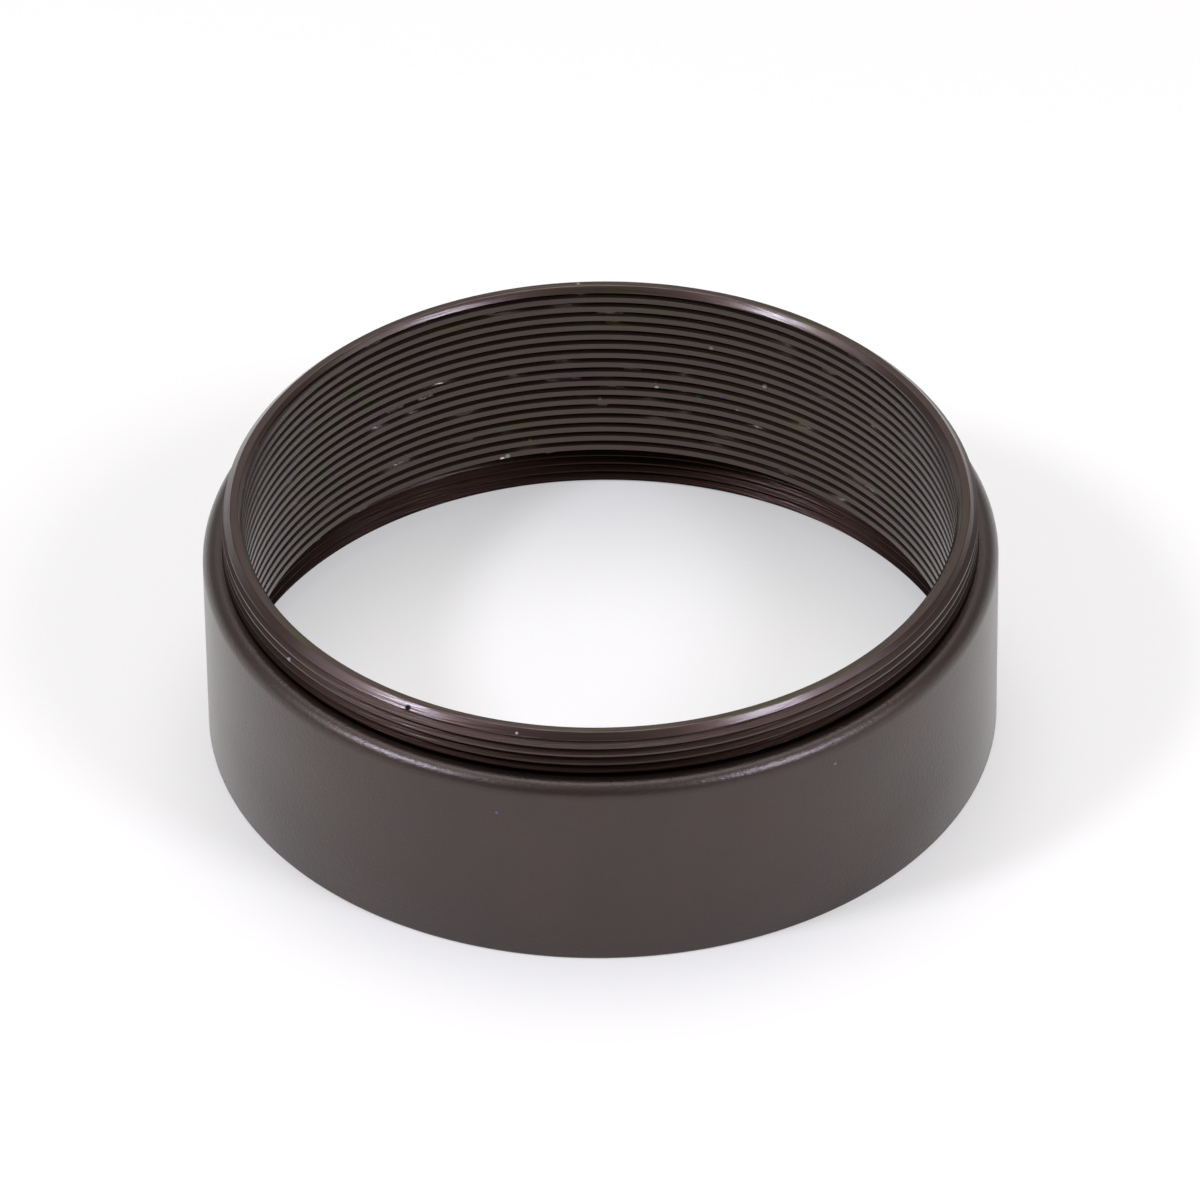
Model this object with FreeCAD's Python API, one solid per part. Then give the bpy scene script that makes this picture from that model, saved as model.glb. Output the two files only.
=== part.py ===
import FreeCAD, Part
import math
import os

# Eyepiece spacer ring, turned in one piece from aluminium bar and anodised black-brown.
# Millimetres. The axis is Z, the base face lies at Z = 0 and the male thread is at the top.
# The two coupling threads and the ribs of the bore are closed V grooves, one to each pitch.

# Coupling thread, one size on the neck and in the base, forty turns to the inch
coupling_diameter = 48.0
coupling_pitch = 0.635
coupling_clearance = 0.05  # on the radius, between the two threads

# Body
body_overhang = 1.25  # of the side beyond the coupling diameter, on the radius
body_height = 13.6  # base face to shoulder
shoulder_round = 1.0
base_chamfer = 0.15

# Neck above the shoulder, with the male thread
neck_height = 3.05
neck_runout = 0.25  # height of the flank between the shoulder and the thread
rim_chamfer = 0.56  # leads the thread in

# Socket in the base, with the female thread
socket_depth = 3.4
socket_chamfer = 0.3
socket_relief_height = 0.8  # tool run-out between the thread and the floor of the socket
socket_relief_depth = 0.1  # beyond the root of the thread

# Clear bore, ribbed from its mouth to the socket against stray light
bore_inset = 1.4  # of the ribs' crests within the coupling diameter, on the radius
mouth_chamfer = 0.33
rib_pitch = 0.75
rib_depth = 0.35

THREAD_DEPTH = 0.5413  # of a sixty-degree thread, as a share of its pitch

female_root_r = coupling_diameter / 2
body_r = female_root_r + body_overhang
bore_r = female_root_r - bore_inset
thread_depth = THREAD_DEPTH * coupling_pitch
female_crest_r = female_root_r - thread_depth
male_crest_r = female_root_r - coupling_clearance
male_root_r = male_crest_r - thread_depth
rim_z = body_height + neck_height


def at(radius, height):
    return FreeCAD.Vector(radius, 0, height)


def straight(points):
    """Straight edges through a run of (radius, height) points."""
    return [Part.LineSegment(at(*a), at(*b)).toShape() for a, b in zip(points, points[1:])]


def rounded(before, corner, after):
    """The quarter round that replaces a square corner, between its two tangent points."""
    centre = at(*before) + at(*after) - at(*corner)
    middle = centre + (at(*corner) - centre) * math.sqrt(0.5)
    return Part.Arc(at(*before), middle, at(*after)).toShape()


def grooves(crest_r, root_r, pitch, low_z, high_z):
    """Up a wall at its crests, with as many V grooves as fit between two heights."""
    count = int((high_z - low_z) / pitch)
    first_z = (low_z + high_z - count * pitch) / 2
    points = [(crest_r, low_z), (crest_r, first_z)]
    for turn in range(count):
        crest_z = first_z + turn * pitch
        points += [(root_r, crest_z + pitch / 2), (crest_r, crest_z + pitch)]
    return [*points, (crest_r, high_z)]


def neck_points():
    """From the shoulder to the rim: run-out flank, thread and chamfer."""
    thread_z = body_height + neck_runout
    chamfer_z = rim_z - rim_chamfer
    return [
        (male_root_r, body_height),
        *grooves(male_crest_r, male_root_r, coupling_pitch, thread_z, chamfer_z),
        (male_crest_r - rim_chamfer, rim_z),
    ]


def bore_points():
    """Down the bore: the chamfer of its mouth, and the ribs."""
    mouth_z = rim_z - mouth_chamfer
    ribs = grooves(bore_r, bore_r + rib_depth, rib_pitch, socket_depth, mouth_z)
    return [(bore_r + mouth_chamfer, rim_z), *reversed(ribs)]


def socket_points():
    """From the bore to the base face: floor, relief, a 45-degree flank, thread and chamfer."""
    relief_r = female_root_r + socket_relief_depth
    relief_z = socket_depth - socket_relief_height
    thread_z = relief_z - (relief_r - female_crest_r)
    thread = grooves(female_crest_r, female_root_r, coupling_pitch, socket_chamfer, thread_z)
    return [
        (relief_r, socket_depth),
        (relief_r, relief_z),
        *reversed(thread),
        (female_crest_r + socket_chamfer, 0),
    ]


def spacer_ring():
    """The section of the wall, turned through a full circle."""
    side = [(body_r - base_chamfer, 0), (body_r, base_chamfer), (body_r, body_height - shoulder_round)]
    shoulder = (body_r - shoulder_round, body_height)
    rest = [shoulder, *neck_points(), *bore_points(), *socket_points(), side[0]]
    corner = rounded(side[-1], (body_r, body_height), shoulder)
    section = Part.Wire([*straight(side), corner, *straight(rest)])
    return Part.Face(section).revolve(at(0, 0), FreeCAD.Vector(0, 0, 1), 360)


os.makedirs("parts", exist_ok=True)
spacer_ring().exportStep("parts/spacer_ring.step")
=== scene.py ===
import bmesh
import bpy
import math
from mathutils import Euler, Matrix, Vector, noise


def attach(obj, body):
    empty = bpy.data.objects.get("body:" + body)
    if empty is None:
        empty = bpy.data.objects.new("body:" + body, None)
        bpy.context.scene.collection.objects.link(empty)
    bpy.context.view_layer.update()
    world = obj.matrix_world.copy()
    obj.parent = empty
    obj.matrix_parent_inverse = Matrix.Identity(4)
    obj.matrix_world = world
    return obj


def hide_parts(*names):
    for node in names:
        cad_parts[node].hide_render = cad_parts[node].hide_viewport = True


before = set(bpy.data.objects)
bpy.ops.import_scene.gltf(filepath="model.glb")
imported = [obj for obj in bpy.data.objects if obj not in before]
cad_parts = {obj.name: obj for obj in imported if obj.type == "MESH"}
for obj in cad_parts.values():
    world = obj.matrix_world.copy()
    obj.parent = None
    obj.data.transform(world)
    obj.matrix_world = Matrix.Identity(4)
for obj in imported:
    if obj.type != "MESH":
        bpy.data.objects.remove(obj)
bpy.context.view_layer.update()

# Eyepiece spacer ring: one turned piece of anodised aluminium, modelled in millimetres
# and brought to metres at the end. The axis is Z and the base stands on Z = 0.
# The camera looks from the front, which is at 270 degrees, counted from X towards Y.

MM = 0.001
STEPS = 256  # of one turn
MERGE = 0.002  # distance within which two points become one
JOIN = 0.05  # height that a bridge takes up between two surfaces
BACK = math.radians(90)
FRONT = math.radians(270)

# Outside
BODY_R = 25.25
SHOULDER_Z = 13.6
RIM_Z = 16.65
SHOULDER_ROUND = 1.0
BASE_EDGE = 0.15
RIM_EDGE = 0.03
SIDE_SPLITS = (8.8, 4.4)  # heights that part the side into shorter faces

# Narrow faces beside an edge, which keep a flat evenly shaded
SHOULDER_SUPPORT = 0.4
BASE_SUPPORT = 0.1

# Coupling thread, forty turns to the inch
COUPLING_PITCH = 0.635
THREAD_DEPTH = 0.344
MALE_CREST_R = 23.95
MALE_ROOT_R = MALE_CREST_R - THREAD_DEPTH
MALE_CREST_Z = 15.2  # of one crest at the front
THREAD_Z = 13.85  # where the thread starts above its run-out
RIM_CHAMFER = 0.56
RIM_MID_R = 23.2  # parts the neck's open edges from those of the bore
FEMALE_CREST_R = 23.656
FEMALE_CREST_Z = 1.35  # of one crest at the front
SOCKET_CHAMFER = 0.3
SOCKET_RELIEF_R = 24.1
SOCKET_RELIEF_Z = 2.6
SOCKET_Z = 3.4

# Ribs of the bore
BORE_R = 22.6
RIB_PITCH = 0.75
RIB_DEPTH = 0.35
RIB_GROOVE_Z = 16.1  # of one groove at the back
MOUTH_CHAMFER = 0.33
MOUTH_BULGE = 0.15  # of the mouth's bevel, which the tool left slightly round

# Dirt in the grooves of the ribs. The share of a groove's depth that it leaves open is CLOG_OPEN
# less CLOG_SLOPE times a noise between -1 and 1, but at least CLOG_LEAST and at most all of it.
CLOG_SIZE = 1.6
CLOG_LENGTH = 3  # of a dirty place, as a multiple of its height
CLOG_OPEN = 2.2
CLOG_SLOPE = 3.5
CLOG_LEAST = 0.3

# Table
TABLE_HALF = 1500  # half of a side
TABLE_GAP = 0.01  # keeps the base and the table from sharing a plane


def linear(code):
    """Turn an sRGB hex value into a linear colour."""
    parts = [int(code[i : i + 2], 16) / 255 for i in (0, 2, 4)]
    return [c / 12.92 if c <= 0.04045 else ((c + 0.055) / 1.055) ** 2.4 for c in parts] + [1]


# Shape


def at_angle(height, angle, pitch):
    """The height at angle zero of a helix that passes a height at an angle."""
    return height - pitch * angle / math.tau


def sweep(points, rise=0):
    """Turn a run of (radius, height) points through a full circle, closed if it doesn't rise."""
    bm = bmesh.new()
    verts = [bm.verts.new((radius, 0, z)) for radius, z in points]
    edges = [bm.edges.new(pair) for pair in zip(verts, verts[1:])]
    bmesh.ops.spin(
        bm,
        geom=verts + edges,
        axis=(0, 0, 1),
        dvec=(0, 0, rise / STEPS),
        angle=math.tau,
        steps=STEPS,
        use_merge=rise == 0,
    )
    return bm


def helix(groove, pitch, crest_z, low_z, high_z, breaks):
    """Sweep the groove of one pitch up a right-hand helix, between two level cuts.

    The breaks are heights at which the surface gets a level edge for a chamfer to start from.
    """
    start = crest_z - pitch * (math.ceil((crest_z - low_z) / pitch) + 1)
    bm = sweep([(radius, start + share * pitch) for radius, share in groove], pitch)
    one_turn = bm.verts[:] + bm.edges[:] + bm.faces[:]
    for turn in range(math.ceil((high_z - start) / pitch)):
        copy = bmesh.ops.duplicate(bm, geom=one_turn)["geom"]
        moved = [part for part in copy if isinstance(part, bmesh.types.BMVert)]
        bmesh.ops.translate(bm, verts=moved, vec=(0, 0, pitch * (turn + 1)))
    bmesh.ops.remove_doubles(bm, verts=bm.verts, dist=MERGE)
    cuts = [(low_z, -1, True), (high_z, 1, True), *[(z, 1, False) for z in breaks]]
    for z, side, clear in cuts:
        bmesh.ops.bisect_plane(
            bm,
            geom=bm.verts[:] + bm.edges[:] + bm.faces[:],
            dist=MERGE,
            plane_co=(0, 0, z),
            plane_no=(0, 0, side),
            clear_outer=clear,
        )
    return bm


def limit_radius(bm, limits):
    """Hold each vertex between the least and most radius that its place allows."""
    for vert in bm.verts:
        radius = vert.co.xy.length
        least, most = limits(vert.co)
        wanted = min(max(radius, least), most)
        vert.co.xy *= wanted / radius


def groove_points(crest_r, root_r, crest_share, root_share, parts):
    """Points of one pitch, from crest to crest: radius, and height as a share of the pitch.

    The crest and the root are flats, and each flank between them is split in parts.
    """
    foot = crest_share / 2
    heel = 0.5 - root_share / 2
    flank = [foot + (heel - foot) * i / parts for i in range(parts + 1)]
    half = [(crest_r + (root_r - crest_r) * (s - foot) / (heel - foot), s) for s in flank]
    return [(crest_r, 0), *half, *[(r, 1 - s) for r, s in reversed(half)], (crest_r, 1)]


def male_surface():
    """Neck from the shoulder to the rim, with its run-out, thread and chamfer."""
    groove = groove_points(MALE_CREST_R, MALE_ROOT_R, crest_share=0.18, root_share=0.15, parts=5)
    crest_z = at_angle(MALE_CREST_Z, FRONT, COUPLING_PITCH)
    chamfer_z = RIM_Z - RIM_CHAMFER
    breaks = (THREAD_Z, chamfer_z)
    bm = helix(groove, COUPLING_PITCH, crest_z, SHOULDER_Z + JOIN, RIM_Z - RIM_EDGE, breaks)

    def limits(place):
        runout = max(MALE_ROOT_R, MALE_CREST_R - (THREAD_Z - place.z))
        return MALE_ROOT_R, min(runout, MALE_CREST_R - (place.z - chamfer_z))

    limit_radius(bm, limits)
    return bm


def female_surface():
    """Socket from the base to its floor, with its chamfer, thread and relief."""
    root_r = FEMALE_CREST_R + THREAD_DEPTH
    groove = groove_points(FEMALE_CREST_R, root_r, crest_share=0.06, root_share=0.125, parts=5)
    crest_z = at_angle(FEMALE_CREST_Z, FRONT, COUPLING_PITCH)
    breaks = (SOCKET_CHAMFER, SOCKET_RELIEF_Z)
    bm = helix(groove, COUPLING_PITCH, crest_z, JOIN, SOCKET_Z - JOIN, breaks)

    def limits(place):
        chamfer = FEMALE_CREST_R + SOCKET_CHAMFER - place.z
        relief = min(SOCKET_RELIEF_R, SOCKET_RELIEF_R - (SOCKET_RELIEF_Z - place.z))
        return max(chamfer, relief), SOCKET_RELIEF_R

    limit_radius(bm, limits)
    return bm


def rib_surface():
    """Bore from the socket to the rim, with its ribs and its bevelled mouth."""
    groove = groove_points(BORE_R, BORE_R + RIB_DEPTH, crest_share=0.5, root_share=0.1, parts=2)
    crest_z = at_angle(RIB_GROOVE_Z + RIB_PITCH / 2, BACK, RIB_PITCH)
    mouth_z = RIM_Z - MOUTH_CHAMFER
    breaks = [mouth_z + MOUTH_CHAMFER * third / 3 for third in range(3)]
    bm = helix(groove, RIB_PITCH, crest_z, SOCKET_Z, RIM_Z - RIM_EDGE, breaks)

    def limits(place):
        clog = noise.noise(Vector((place.x, place.y, CLOG_LENGTH * place.z)) / CLOG_SIZE)
        depth = RIB_DEPTH * min(1, max(CLOG_LEAST, CLOG_OPEN - CLOG_SLOPE * clog))
        rise = max(0, (place.z - mouth_z) / MOUTH_CHAMFER)
        least = BORE_R + MOUTH_CHAMFER * rise * (1 - MOUTH_BULGE * (1 - rise))
        return least, max(least, BORE_R + depth)

    limit_radius(bm, limits)
    return bm


def arc(centre, radius, start, end, count):
    """Points of a round, by its centre and its two angles in degrees."""
    angles = [math.radians(start + (end - start) * i / count) for i in range(count + 1)]
    return [(centre[0] + radius * math.cos(a), centre[1] + radius * math.sin(a)) for a in angles]


def side_points():
    """From the foot of the neck over the shoulder, down the side and in to the socket."""
    fillet = arc((MALE_ROOT_R + JOIN, SHOULDER_Z + JOIN), JOIN, 180, 270, 3)
    shoulder = (BODY_R - SHOULDER_ROUND, SHOULDER_Z - SHOULDER_ROUND)
    base = (BODY_R - BASE_EDGE, BASE_EDGE)
    socket_r = FEMALE_CREST_R + SOCKET_CHAMFER
    return [
        *fillet[1:],
        (MALE_ROOT_R + SHOULDER_SUPPORT, SHOULDER_Z),
        *arc(shoulder, SHOULDER_ROUND, 90, 0, 12),
        *[(BODY_R, z) for z in SIDE_SPLITS],
        *arc(base, BASE_EDGE, 0, -90, 4),
        (socket_r + BASE_SUPPORT, 0),
        (socket_r, 0),
    ]


def rim_points():
    """From the mouth of the bore over the rim to the chamfer of the neck."""
    inner_r = BORE_R + MOUTH_CHAMFER
    outer_r = MALE_CREST_R - RIM_CHAMFER
    return [
        (inner_r, RIM_Z - RIM_EDGE / 4),
        (inner_r + RIM_EDGE, RIM_Z),
        (inner_r + 2 * RIM_EDGE, RIM_Z),
        (outer_r - 2 * RIM_EDGE, RIM_Z),
        (outer_r - RIM_EDGE, RIM_Z),
        (outer_r, RIM_Z - RIM_EDGE / 4),
    ]


def open_edges(bm, z, low_r, high_r):
    """Border edges at one height, between two radii."""
    return [
        edge
        for edge in bm.edges
        if edge.is_boundary
        and all(abs(v.co.z - z) < MERGE and low_r < v.co.xy.length < high_r for v in edge.verts)
    ]


def ring_mesh():
    """Join the three threaded surfaces and the plain ones into one closed skin."""
    side = side_points()
    rim = rim_points()
    bm = bmesh.new()
    for surface in (male_surface(), female_surface(), rib_surface(), sweep(side), sweep(rim)):
        mesh = bpy.data.meshes.new("surface")
        surface.to_mesh(mesh)
        surface.free()
        bm.from_mesh(mesh)
        bpy.data.meshes.remove(mesh)
    bmesh.ops.remove_doubles(bm, verts=bm.verts, dist=MERGE / 4)
    seams = [
        (SHOULDER_Z + JOIN, side[0][1], 0, BODY_R),
        (RIM_Z - RIM_EDGE, rim[-1][1], RIM_MID_R, BODY_R),
        (RIM_Z - RIM_EDGE, rim[0][1], 0, RIM_MID_R),
        (JOIN, side[-1][1], 0, BODY_R),
        (SOCKET_Z - JOIN, SOCKET_Z, 0, BODY_R),
    ]
    for one_z, other_z, low_r, high_r in seams:
        edges = [*open_edges(bm, one_z, low_r, high_r), *open_edges(bm, other_z, low_r, high_r)]
        bmesh.ops.bridge_loops(bm, edges=edges)
    bmesh.ops.recalc_face_normals(bm, faces=bm.faces)
    return bm


# Materials

FILM = 0.85  # weight of the clear film over the dye
TABLE_GLOW = 0.35  # share of an even glow in what the camera and mirroring faces see of the table

# Painted shade in the threads and the socket: a darker tint and less of the film's shine, up to a
# height on the neck
SHADE_FILM = 0.25
FULL_SHADE_Z = 14.2  # painted shade at its darkest up to here
NO_SHADE_Z = 15.2  # and none from here

# Sizes of the patterns
DYE_SIZE = 6  # of the faint clouds in the dye of the side
GRAIN_SIZE = 0.2  # of the blasting
STAIN_SIZE = 2  # of the stains on turned faces
FEED_SIZE = 0.14  # between the lathe's lines, twice what is real so that they show

# Specks of dust and small marks: angle in degrees, radius, height, size and colour
BODY_SPECKS = [(254.75, 25.25, 11.16, 0.13, "5a6a80"), (304.75, 25.25, 11.78, 0.13, "66776e")]
TURNED_SPECKS = [
    (80.5, 22.6, 9.3, 0.17, "7f9283"),
    (80.3, 22.6, 8.8, 0.17, "8fa891"),
    (106.3, 22.6, 3.55, 0.2, "dfe6dc"),
    (105.4, 22.6, 3.7, 0.22, "8d8f84"),
    (89.8, 22.6, 7.8, 0.2, "8f8a78"),
    (101.5, 22.6, 4.8, 0.18, "8a6f4e"),
    (73.3, 22.7, 8.4, 0.25, "4d5840"),
    (69.3, 22.7, 8.8, 0.22, "4b4a6c"),
    (61.5, 22.6, 10.6, 0.2, "94868a"),
    (66.5, 22.7, 8.0, 0.18, "86807a"),
    (71.0, 22.6, 12.6, 0.17, "8a7a70"),
    (257.0, 23.65, 16.39, 0.11, "a9b0a0"),
    (239.4, 23.67, 16.37, 0.26, "0d0a0e"),
    (215.3, 23.95, 15.1, 0.2, "a5a2a6"),
    (93.0, 23.2, 16.65, 0.14, "8d8981"),
]


def set_stops(elements, stops):
    """Give a ramp its stops, which are positions with grey levels or colours."""
    while len(elements) < len(stops):
        elements.new(0.5)
    for element, (position, colour) in zip(elements, stops):
        element.position = position
        element.color = linear(colour) if isinstance(colour, str) else [colour] * 3 + [1]


def add_node(tree, kind, settings=None, links=None):
    """Add a node, set its stops, inputs and properties, and link outputs to its inputs.

    An input goes by its name or, where names repeat, by its number.
    """
    node = tree.nodes.new(kind)
    for name, value in (settings or {}).items():
        if name == "stops":
            set_stops(node.color_ramp.elements, value)
        elif isinstance(name, int) or name in node.inputs:
            node.inputs[name].default_value = value
        else:
            setattr(node, name, value)
    for name, output in (links or {}).items():
        tree.links.new(output, node.inputs[name])
    return node


def new_material(name):
    """Start a material with no nodes."""
    material = bpy.data.materials.new(name)
    material.use_nodes = True
    material.node_tree.nodes.clear()
    return material, material.node_tree


def cells(size, detail):
    """Settings of a noise whose cells have a real size in millimetres."""
    return {"Scale": 1 / (size * MM), "Detail": detail, "Roughness": 0.6}


def lathe_place(tree, pull):
    """Object coordinates whose patterns are drawn out along the circumference.

    The pull is the share of the way round that a pattern still sees.
    """
    place = add_node(tree, "ShaderNodeTexCoord").outputs["Object"]
    flat = add_node(
        tree, "ShaderNodeVectorMath", {"operation": "MULTIPLY", 1: (1, 1, 0)}, {0: place}
    )
    radius = add_node(tree, "ShaderNodeVectorMath", {"operation": "LENGTH"}, {0: flat.outputs[0]})
    shift = add_node(tree, "ShaderNodeCombineXYZ", {}, {"X": radius.outputs["Value"]})
    drawn = add_node(
        tree,
        "ShaderNodeVectorMath",
        {"operation": "MULTIPLY_ADD", 1: (pull, pull, 1)},
        {0: place, 2: shift.outputs[0]},
    )
    return drawn.outputs[0]


def even_film(tree):
    """The film's weight where nothing has worn or oiled it."""
    film = add_node(tree, "ShaderNodeValue").outputs["Value"]
    film.default_value = FILM
    return film


def add_specks(tree, tint, film, specks):
    """Lay dull specks over a tint and its clear film."""
    place = add_node(tree, "ShaderNodeTexCoord").outputs["Object"]
    for angle, radius, height, size, colour in specks:
        turn = math.radians(angle)
        centre = (radius * MM * math.cos(turn), radius * MM * math.sin(turn), height * MM)
        gap = add_node(
            tree, "ShaderNodeVectorMath", {"operation": "DISTANCE", 1: centre}, {0: place}
        )
        clear = add_node(
            tree,
            "ShaderNodeMapRange",
            {"From Min": size * MM / 2, "From Max": size * MM},
            {"Value": gap.outputs["Value"]},
        ).outputs["Result"]
        tint = add_node(
            tree,
            "ShaderNodeMixRGB",
            {"Color1": linear(colour)},
            {"Fac": clear, "Color2": tint},
        ).outputs["Color"]
        film = add_node(
            tree, "ShaderNodeMath", {"operation": "MULTIPLY"}, {0: film, 1: clear}
        ).outputs["Value"]
    return tint, film


def finish_anodised(tree, tint, film, relief, depth, roughness, gloss):
    """A dyed metal below, and a clear film above that mirrors the light without colour.

    The depth is that of the relief in millimetres, and the gloss is the film's own roughness.
    """
    bump = add_node(
        tree, "ShaderNodeBump", {"Strength": 0.5, "Distance": depth * MM}, {"Height": relief}
    ).outputs["Normal"]
    shader = add_node(
        tree,
        "ShaderNodeBsdfPrincipled",
        {"Metallic": 1, "Roughness": roughness, "Coat Roughness": gloss},
        {"Base Color": tint, "Coat Weight": film, "Normal": bump, "Coat Normal": bump},
    )
    add_node(tree, "ShaderNodeOutputMaterial", {}, {"Surface": shader.outputs["BSDF"]})


def finish_turned(tree, tint, film):
    """The specks, and lines that the lathe's feed leaves along the circumference."""
    tint, film = add_specks(tree, tint, film, TURNED_SPECKS)
    place = lathe_place(tree, pull=0.04)
    lines = add_node(tree, "ShaderNodeTexNoise", cells(FEED_SIZE, detail=2), {"Vector": place})
    finish_anodised(tree, tint, film, lines.outputs["Fac"], depth=0.035, roughness=0.42, gloss=0.22)


def blasted_anodised_aluminium():
    """Bead blasting under a black-brown dye: an even satin, with a fine grain where light falls."""
    material, tree = new_material("blasted_anodised_aluminium")
    place = add_node(tree, "ShaderNodeTexCoord").outputs["Object"]
    dye = add_node(tree, "ShaderNodeTexNoise", cells(DYE_SIZE, detail=2), {"Vector": place})
    tint = add_node(
        tree,
        "ShaderNodeValToRGB",
        {"stops": [(0.3, "392d2a"), (0.7, "3e2e29")]},
        {"Fac": dye.outputs["Fac"]},
    )
    tint, film = add_specks(tree, tint.outputs["Color"], even_film(tree), BODY_SPECKS)
    grain = add_node(tree, "ShaderNodeTexNoise", cells(GRAIN_SIZE, detail=3), {"Vector": place})
    finish_anodised(tree, tint, film, grain.outputs["Fac"], depth=0.05, roughness=0.5, gloss=0.26)
    return material


def turned_anodised_aluminium():
    """A cut surface under the same dye: glossier, with highlights drawn out in lines.

    The dye has taken unevenly, from reddish to olive.
    """
    material, tree = new_material("turned_anodised_aluminium")
    place = lathe_place(tree, pull=0.3)
    stains = add_node(tree, "ShaderNodeTexNoise", cells(STAIN_SIZE, detail=3), {"Vector": place})
    tint = add_node(
        tree,
        "ShaderNodeValToRGB",
        {"stops": [(0.32, "3c2b2b"), (0.45, "402f28"), (0.55, "402f28"), (0.66, "3d3620")]},
        {"Fac": stains.outputs["Fac"]},
    )
    finish_turned(tree, tint.outputs["Color"], even_film(tree))
    return material


def painted_shade_thread():
    """The turned finish in the threads, with painted shade that darkens their depth."""
    material, tree = new_material("painted_shade_thread")
    place = add_node(tree, "ShaderNodeTexCoord").outputs["Object"]
    height = add_node(tree, "ShaderNodeSeparateXYZ", {}, {"Vector": place}).outputs["Z"]
    # painted shade: the film thins and the tint darkens from the upper neck down to its foot, and
    # stays darkest in the socket
    film = add_node(
        tree,
        "ShaderNodeMapRange",
        {"From Min": FULL_SHADE_Z * MM, "From Max": NO_SHADE_Z * MM, "To Min": SHADE_FILM, "To Max": FILM},
        {"Value": height},
    ).outputs["Result"]
    tint = add_node(
        tree,
        "ShaderNodeValToRGB",
        {"stops": [(SHADE_FILM, "2a1a15"), (FILM, "402e29")]},
        {"Fac": film},
    )
    finish_turned(tree, tint.outputs["Color"], film)
    return material


def pale_table():
    """Smooth white table top, which is seen as near white and keeps the ring's shadow."""
    material, tree = new_material("pale_table")
    paint = add_node(
        tree, "ShaderNodeBsdfPrincipled", {"Base Color": linear("e8e5df"), "Roughness": 0.7}
    )
    glow = add_node(tree, "ShaderNodeEmission", {"Color": linear("ffffff"), "Strength": 1})
    rays = add_node(tree, "ShaderNodeLightPath").outputs
    seen = add_node(
        tree,
        "ShaderNodeMath",
        {"operation": "MAXIMUM"},
        {0: rays["Is Camera Ray"], 1: rays["Is Glossy Ray"]},
    )
    share = add_node(
        tree, "ShaderNodeMath", {"operation": "MULTIPLY", 1: TABLE_GLOW}, {0: seen.outputs["Value"]}
    )
    mix = add_node(
        tree,
        "ShaderNodeMixShader",
        {},
        {0: share.outputs["Value"], 1: paint.outputs["BSDF"], 2: glow.outputs["Emission"]},
    )
    add_node(tree, "ShaderNodeOutputMaterial", {}, {"Surface": mix.outputs["Shader"]})
    return material


# Pieces

BLASTED, TURNED, PAINTED_SHADE = range(3)  # slots of the ring's materials
FINISH_MARGIN = 0.2  # how far within its own radius a finish still holds
SHARP_ANGLE = math.radians(25)  # past which an edge isn't shaded smooth


def new_object(name, bm, materials):
    """Put a bmesh, modelled in millimetres, into the scene."""
    bmesh.ops.scale(bm, vec=(MM, MM, MM), verts=bm.verts)
    mesh = bpy.data.meshes.new(name)
    bm.to_mesh(mesh)
    bm.free()
    for material in materials:
        mesh.materials.append(material)
    thing = bpy.data.objects.new(name, mesh)
    bpy.context.collection.objects.link(thing)
    return thing


def finish_at(place):
    """Slot at a place on the ring: blasted outside, painted shade on the neck, the base and the
    socket.
    """
    radius = place.xy.length
    if radius > BODY_R - SHOULDER_ROUND - FINISH_MARGIN and place.z > 0:
        return BLASTED
    on_neck = radius > MALE_ROOT_R - FINISH_MARGIN and place.z < RIM_Z - RIM_EDGE
    # the neck, the base and the socket get the slot with painted shade
    return PAINTED_SHADE if on_neck or place.z < SOCKET_Z else TURNED


def make_ring():
    """The ring as one closed piece, which stands for the whole CAD solid."""
    bm = ring_mesh()
    for face in bm.faces:
        face.smooth = True
        face.material_index = finish_at(face.calc_center_median())
    materials = [blasted_anodised_aluminium(), turned_anodised_aluminium(), painted_shade_thread()]
    ring = new_object("turned_ring", bm, materials)
    ring.data.set_sharp_from_angle(angle=SHARP_ANGLE)
    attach(ring, "root")
    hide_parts("spacer_ring")


def make_table():
    """The table top, wide enough to fill every view."""
    bm = bmesh.new()
    below = Matrix.Translation((0, 0, -TABLE_GAP))
    bmesh.ops.create_grid(bm, x_segments=1, y_segments=1, size=TABLE_HALF, matrix=below)
    table = new_object("table", bm, [pale_table()])


# Light and camera

# Square softboxes: name, azimuth and elevation in degrees, side in metres and power in watts
LAMPS = [
    ("left_box", 204, 47, 0.08, 1.15),
    ("left_panel", 190, 38, 0.25, 0.28),
    ("right_box", -37, 42, 0.12, 1.05),
    ("right_panel", -15, 38, 0.25, 0.3),
]
LAMP_COLOUR = "ebecff"
LAMP_DISTANCE = 0.5

# Brightness of the ceiling by how near a direction is to its middle, and of the walls by height
CEILING_MIDDLE = (0, 0.34, 0.94)
CEILING = [(0.5, 0.2), (0.7, 0.3), (0.88, 0.45), (0.96, 3.2)]
WALLS = [(0.02, 0.9), (0.2, 0.25), (0.36, 0)]

# Camera, fitted to the edges of the ring in the photograph
PHOTO_PIXELS = 1200
FOCAL_PIXELS = 11375.5
SENSOR_WIDTH = 36
CAMERA_PLACE = (-0.000077, -0.57054, 0.45487)
CAMERA_DOWN = 38.026  # degrees below level
CAMERA_ROLL = -0.76  # degrees


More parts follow.
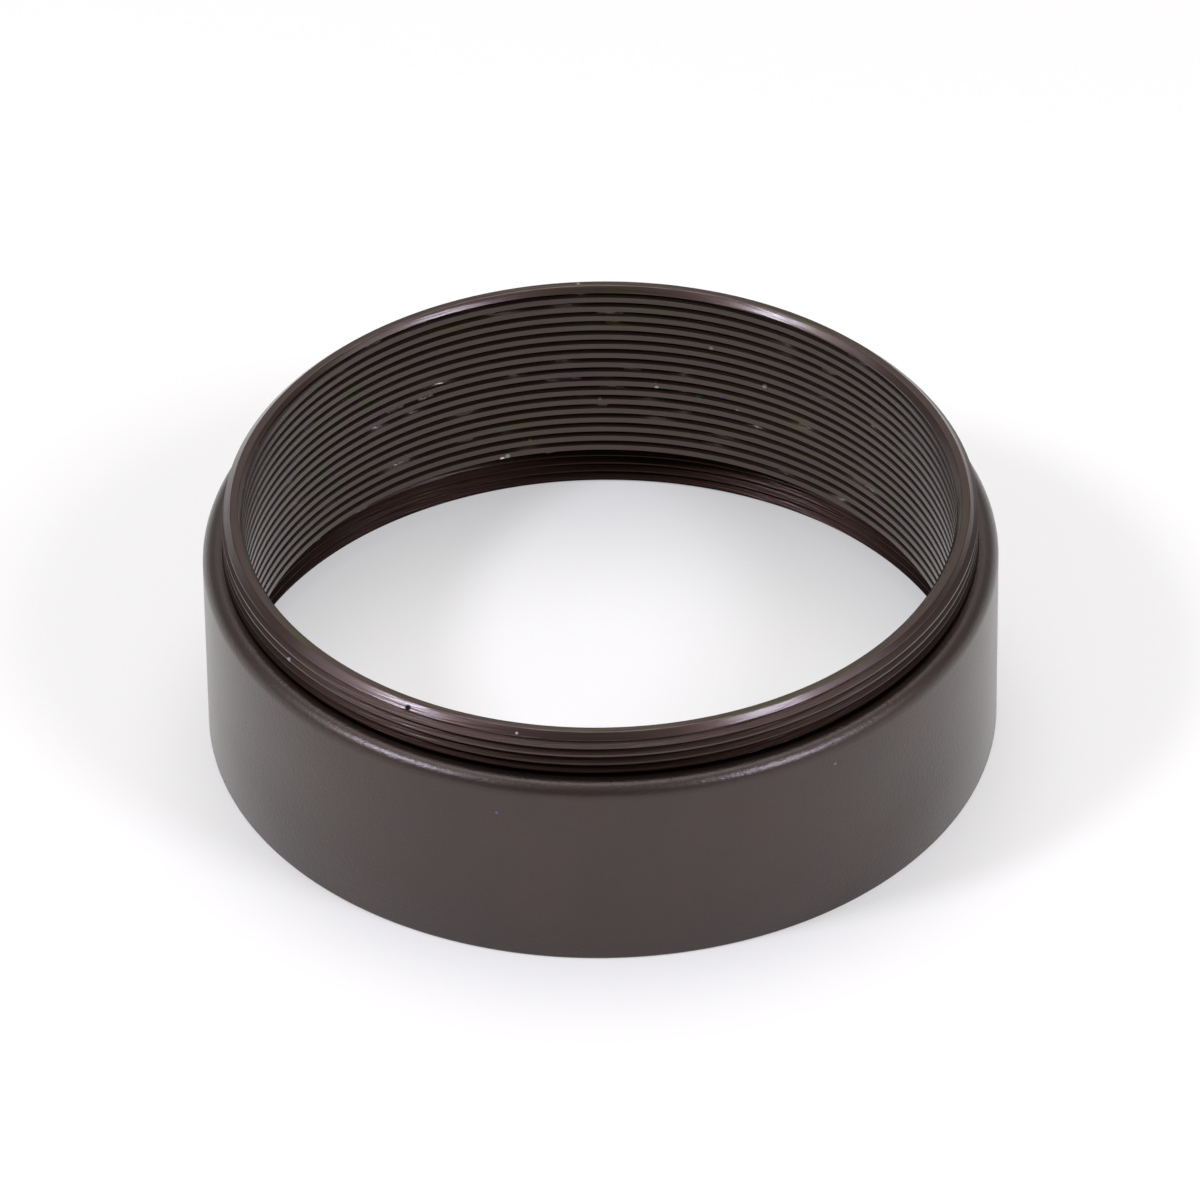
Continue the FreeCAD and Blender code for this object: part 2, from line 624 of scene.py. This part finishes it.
def add_lamp(name, azimuth, elevation, size, power):
    """A square softbox, turned to the ring."""
    data = bpy.data.lights.new(name, "AREA")
    data.size = size
    data.energy = power
    data.color = linear(LAMP_COLOUR)[:3]
    lamp = bpy.data.objects.new(name, data)
    turn = Euler((math.radians(90 - elevation), 0, math.radians(azimuth + 90)))
    lamp.rotation_euler = turn
    lamp.location = turn.to_matrix() @ Vector((0, 0, LAMP_DISTANCE))
    bpy.context.collection.objects.link(lamp)


def light_studio():
    """Two small bright boxes in front, each with a wide dim one, under a bright ceiling."""
    for lamp in LAMPS:
        add_lamp(*lamp)
    world = bpy.data.worlds.new("studio")
    world.use_nodes = True
    tree = world.node_tree
    tree.nodes.clear()
    way = add_node(tree, "ShaderNodeTexCoord").outputs["Generated"]
    nearness = add_node(
        tree, "ShaderNodeVectorMath", {"operation": "DOT_PRODUCT", 1: CEILING_MIDDLE}, {0: way}
    ).outputs["Value"]
    height = add_node(tree, "ShaderNodeSeparateXYZ", {}, {"Vector": way}).outputs["Z"]
    lights = []
    for factor, stops in ((nearness, CEILING), (height, WALLS)):
        ramp = add_node(tree, "ShaderNodeValToRGB", {"stops": stops}, {"Fac": factor})
        light = add_node(tree, "ShaderNodeBackground", {}, {"Color": ramp.outputs["Color"]})
        lights.append(light.outputs["Background"])
    both = add_node(tree, "ShaderNodeAddShader", {}, {0: lights[0], 1: lights[1]})
    add_node(tree, "ShaderNodeOutputWorld", {}, {"Surface": both.outputs["Shader"]})
    bpy.context.scene.world = world


def place_camera():
    """A long lens from the front, well above the table."""
    data = bpy.data.cameras.new("camera")
    data.sensor_width = SENSOR_WIDTH
    data.lens = SENSOR_WIDTH * FOCAL_PIXELS / PHOTO_PIXELS
    camera = bpy.data.objects.new("camera", data)
    camera.location = CAMERA_PLACE
    tilt = Euler((math.radians(90 - CAMERA_DOWN), 0, 0)).to_matrix()
    roll = Euler((0, 0, math.radians(CAMERA_ROLL))).to_matrix()
    camera.rotation_euler = (tilt @ roll).to_euler()
    bpy.context.collection.objects.link(camera)
    bpy.context.scene.camera = camera


make_ring()
make_table()
light_studio()
place_camera()
bpy.context.scene.view_settings.view_transform = "Standard"
